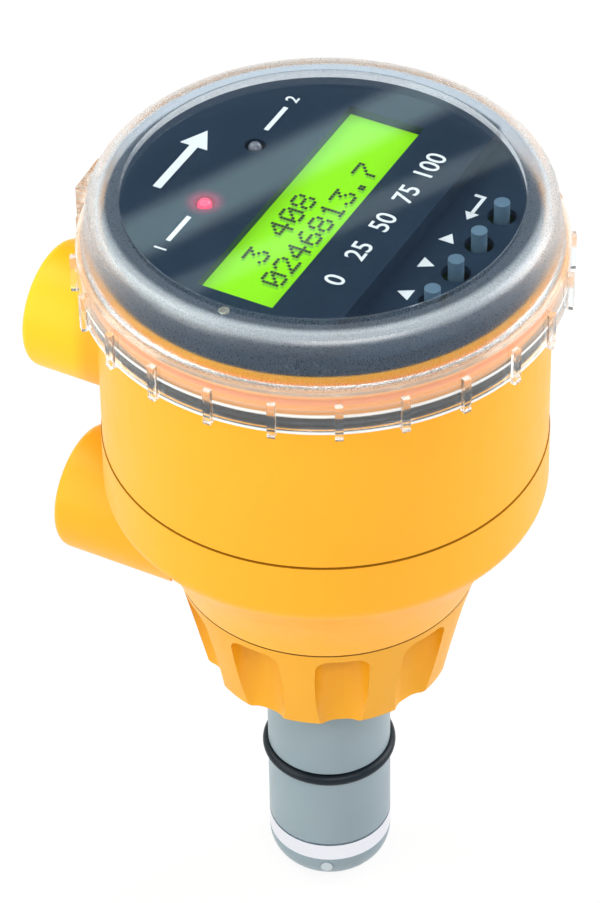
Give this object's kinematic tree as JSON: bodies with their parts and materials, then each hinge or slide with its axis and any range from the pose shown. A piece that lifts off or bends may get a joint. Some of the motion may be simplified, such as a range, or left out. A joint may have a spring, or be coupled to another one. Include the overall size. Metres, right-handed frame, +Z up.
{
  "type": "electromagnetic flow meter",
  "caption": "Insertion electromagnetic flow meter: flow sensor on a shaft under a round yellow housing with conduit ports, display, buttons and a clear screw cover.",
  "frame": {"origin": "on the sensor shaft axis, at the lower end of the shaft, where it meets the joint above the metal ground ring", "axes": "+Z up along the shaft, from the wetted tip to the display; +X the reading direction of the display; +Y the upper side of the display, the way both conduit ports point"},
  "size_m": [0.1014, 0.1109, 0.1835],
  "materials": {
    "yellow_plastic": "satin moulded",
    "clear_plastic": "clear, with textured bands",
    "display_plastic": "fine satin",
    "shaft_plastic": "satin moulded",
    "stainless": "turned",
    "soft_iron": "plain",
    "copper_wire": "enamelled",
    "black_rubber": "matte",
    "board": "solder mask",
    "black_plastic": "moulded",
    "green_plastic": "moulded",
    "white_plastic": "moulded",
    "display_glass": "lit yellow green",
    "light_plastic": "lit yellow green",
    "red_lens": "tinted lens",
    "clear_lens": "clear lens"
  },
  "bodies": {
    "meter": {"bezel": "display_plastic", "board_screws": "stainless", "board_standoffs": "stainless", "button_switches": "black_plastic", "coil_bobbin": "black_plastic", "coil_core": "soft_iron", "coil_winding": "copper_wire", "cover_seal": "black_rubber", "display_board": "board", "electrode_1": "stainless", "electrode_2": "stainless", "ground_ring": "stainless", "housing_gasket": "black_rubber", "housing_screws": "stainless", "lcd_backlight": "light_plastic", "lcd_board": "board", "lcd_glass": "display_glass", "lcd_header": "black_plastic", "led_clear": "clear_lens", "led_red": "red_lens", "led_spacers": "black_plastic", "lower_housing": "yellow_plastic", "main_board": "board", "o_ring_lower": "black_rubber", "o_ring_upper": "black_rubber", "relay_1": "black_plastic", "relay_2": "black_plastic", "sensor_board": "board", "sensor_body": "shaft_plastic", "sensor_tip": "shaft_plastic", "stem_nut": "stainless", "stem_washer": "black_rubber", "terminal_block_power": "green_plastic", "terminal_block_relays": "green_plastic", "terminal_screws": "stainless", "upper_housing": "yellow_plastic"},
    "cover": {"clear_cover": "clear_plastic"},
    "cap": {"sensor_cap": "yellow_plastic"},
    "button_up_pin": {"button_up": "white_plastic"},
    "button_down_pin": {"button_down": "white_plastic"},
    "button_next_pin": {"button_next": "white_plastic"},
    "button_enter_pin": {"button_enter": "white_plastic"}
  },
  "joints": [
    {"name": "cover_lift", "type": "slide", "parent": "meter", "child": "cover", "axis": [0, 0, 1], "range_m": [0, 0.03]},
    {"name": "cap_turn", "type": "hinge", "parent": "meter", "child": "cap", "pos_m": [0, 0, 0.0685], "axis": [0, 0, 1], "continuous": true},
    {"name": "button_up_press", "type": "slide", "parent": "meter", "child": "button_up_pin", "axis": [0, 0, -1], "range_m": [0, 0.00025], "stiffness_N_per_m": 2000, "springref_m": -0.0002},
    {"name": "button_down_press", "type": "slide", "parent": "meter", "child": "button_down_pin", "axis": [0, 0, -1], "range_m": [0, 0.00025], "stiffness_N_per_m": 2000, "springref_m": -0.0002},
    {"name": "button_next_press", "type": "slide", "parent": "meter", "child": "button_next_pin", "axis": [0, 0, -1], "range_m": [0, 0.00025], "stiffness_N_per_m": 2000, "springref_m": -0.0002},
    {"name": "button_enter_press", "type": "slide", "parent": "meter", "child": "button_enter_pin", "axis": [0, 0, -1], "range_m": [0, 0.00025], "stiffness_N_per_m": 2000, "springref_m": -0.0002}
  ]
}
